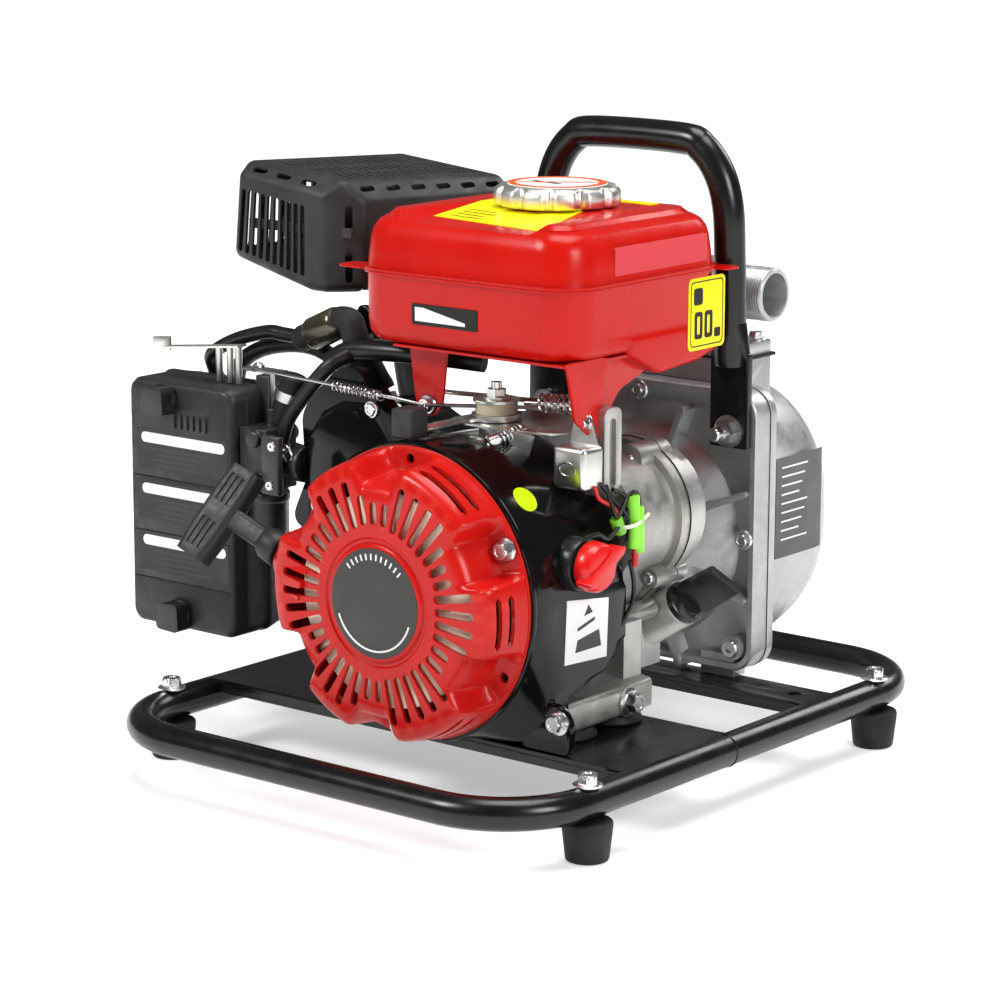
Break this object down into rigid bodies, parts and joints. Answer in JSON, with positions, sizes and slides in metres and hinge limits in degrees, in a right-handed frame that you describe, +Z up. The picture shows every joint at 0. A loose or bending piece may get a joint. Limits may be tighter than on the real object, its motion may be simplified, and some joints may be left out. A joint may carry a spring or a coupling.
{
  "type": "portable fire pump",
  "caption": "Portable petrol-engine centrifugal water pump on a tubular carrying frame, with red fuel tank, recoil starter, muffler guard and threaded suction and discharge ports.",
  "frame": {"origin": "middle of the bounding box, on the ground under the feet", "axes": "+Z up; +Y towards the pump's suction port, along the crankshaft; -Y is the recoil-starter end; +X is the side with the fuel tank's clear face, engine switch and oil filler; -X the air-cleaner and muffler side"},
  "size_m": [0.4056, 0.455, 0.3791],
  "materials": {
    "black_paint": "gloss black powder coat",
    "satin_black": "satin black heat paint",
    "red_paint": "gloss red enamel",
    "red_plastic": "glossy red plastic",
    "rubber": "black moulded rubber",
    "engine_cast": "bare die-cast aluminium",
    "pump_cast": "shot-blasted cast aluminium, grey",
    "zinc_plated": "zinc-plated pressed steel",
    "machined_steel": "machined steel",
    "chrome": "polished chrome plate",
    "black_plastic": "fine-grained black plastic",
    "cream_plastic": "cream moulded plastic",
    "filter_foam": "dark grey open foam",
    "rope": "braided black cord",
    "brass": "yellow brass and pot metal"
  },
  "bodies": {
    "main_assembly": {"air_cleaner_base": "black_plastic", "air_filter": "filter_foam", "base_frame": "black_paint", "blower_housing": "black_paint", "carburettor": "brass", "carry_handle": "black_paint", "control_plate": "zinc_plated", "crankcase": "engine_cast", "crankcase_cover": "engine_cast", "cylinder": "engine_cast", "cylinder_head": "engine_cast", "discharge_elbow": "pump_cast", "engine_mount_front_left": "rubber", "engine_mount_front_right": "rubber", "engine_mount_rear_left": "rubber", "engine_mount_rear_right": "rubber", "foot_bolt_front_left": "zinc_plated", "foot_bolt_front_right": "zinc_plated", "foot_bolt_rear_left": "zinc_plated", "foot_bolt_rear_right": "zinc_plated", "foot_front_left": "rubber", "foot_front_right": "rubber", "foot_rear_left": "rubber", "foot_rear_right": "rubber", "fuel_hose": "rubber", "ignition_lead": "rubber", "muffler": "satin_black", "muffler_guard": "satin_black", "oil_alert_unit": "zinc_plated", "piston": "engine_cast", "pump_casing": "pump_cast", "pump_plate": "pump_cast", "recoil_cover": "red_paint", "rocker_cover": "black_paint", "spark_plug": "zinc_plated", "spark_plug_cap": "rubber", "suction_port": "pump_cast", "switch_body": "black_plastic", "tank_bracket": "red_paint", "tank_lower": "red_paint", "tank_upper": "red_paint"},
    "crank_rotor": {"crankshaft": "machined_steel", "flywheel_fan": "cream_plastic", "impeller": "pump_cast"},
    "cam": {"camshaft": "machined_steel"},
    "grip_and_rope": {"starter_grip": "black_plastic", "starter_rope": "rope"},
    "pulley": {"starter_pulley": "black_plastic"},
    "oil_filler_cap": {"oil_cap": "black_plastic"},
    "tank_cap": {"fuel_cap": "chrome"},
    "engine_switch": {"switch_knob": "red_plastic"},
    "choke": {"choke_lever": "zinc_plated"},
    "throttle": {"throttle_lever": "zinc_plated"},
    "governor": {"governor_arm": "zinc_plated"},
    "filter_cover": {"air_cleaner_cover": "black_plastic"},
    "upper_wing_nut": {"wing_knob_upper": "black_plastic"},
    "lower_wing_nut": {"wing_knob_lower": "black_plastic"},
    "priming_cap": {"priming_plug": "black_plastic"},
    "drain_screw": {"drain_plug": "brass"}
  },
  "joints": [
    {"name": "crank_spin", "type": "hinge", "parent": "main_assembly", "child": "crank_rotor", "pos_m": [0.0502, -0.0155, 0.125], "axis": [0, 1, 0], "continuous": true},
    {"name": "cam_spin", "type": "hinge", "parent": "main_assembly", "child": "cam", "pos_m": [0.0992, -0.0155, 0.157], "axis": [0, 1, 0], "continuous": true},
    {"name": "rope_pull", "type": "slide", "parent": "main_assembly", "child": "grip_and_rope", "axis": [-0.9326, 0, 0.361], "range_m": [0, 0.04], "stiffness_N_per_m": 60, "springref_m": -0.01},
    {"name": "pulley_turn", "type": "hinge", "parent": "main_assembly", "child": "pulley", "pos_m": [0.0502, -0.1585, 0.125], "axis": [0, 1, 0], "range_deg": [0, 80]},
    {"name": "oil_cap_turn", "type": "hinge", "parent": "main_assembly", "child": "oil_filler_cap", "pos_m": [0.1272, 0.0111, 0.1015], "axis": [0.848, 0, 0.53], "range_deg": [0, 180]},
    {"name": "fuel_cap_turn", "type": "hinge", "parent": "main_assembly", "child": "tank_cap", "pos_m": [0.0482, -0.0095, 0.3333], "axis": [0, 0, 1], "range_deg": [0, 90]},
    {"name": "switch_turn", "type": "hinge", "parent": "main_assembly", "child": "engine_switch", "pos_m": [0.141, -0.0975, 0.146], "axis": [1, 0, 0], "range_deg": [0, 90]},
    {"name": "choke_swing", "type": "hinge", "parent": "main_assembly", "child": "choke", "pos_m": [-0.1288, -0.0945, 0.226], "axis": [0, 0, 1], "range_deg": [0, 30]},
    {"name": "throttle_swing", "type": "hinge", "parent": "main_assembly", "child": "throttle", "pos_m": [0.0482, -0.0655, 0.2143], "axis": [0, 0, 1], "range_deg": [-15, 20]},
    {"name": "governor_rock", "type": "hinge", "parent": "main_assembly", "child": "governor", "pos_m": [0.1032, -0.0395, 0.215], "axis": [0, 0, 1], "range_deg": [-1.5, 0.8], "stiffness_Nm_per_rad": 0.05},
    {"name": "filter_cover_pull", "type": "slide", "parent": "main_assembly", "child": "filter_cover", "axis": [0, -1, 0], "range_m": [0, 0.012]},
    {"name": "upper_wing_turn", "type": "hinge", "parent": "filter_cover", "child": "upper_wing_nut", "pos_m": [-0.1688, -0.1158, 0.207], "axis": [0, 1, 0], "continuous": true},
    {"name": "lower_wing_turn", "type": "hinge", "parent": "filter_cover", "child": "lower_wing_nut", "pos_m": [-0.1598, -0.1158, 0.074], "axis": [0, 1, 0], "continuous": true},
    {"name": "priming_plug_turn", "type": "hinge", "parent": "main_assembly", "child": "priming_cap", "pos_m": [-0.0028, 0.1105, 0.226], "axis": [0, 0, 1], "continuous": true},
    {"name": "drain_plug_turn", "type": "hinge", "parent": "main_assembly", "child": "drain_screw", "pos_m": [0.0502, 0.1875, 0.076], "axis": [0, 1, 0], "continuous": true}
  ],
  "couplings": [
    {"joint": "cam_spin", "follows": "crank_spin", "ratio": -0.5},
    {"joint": "pulley_turn", "follows": "rope_pull", "rad_per_m": 32.258}
  ]
}
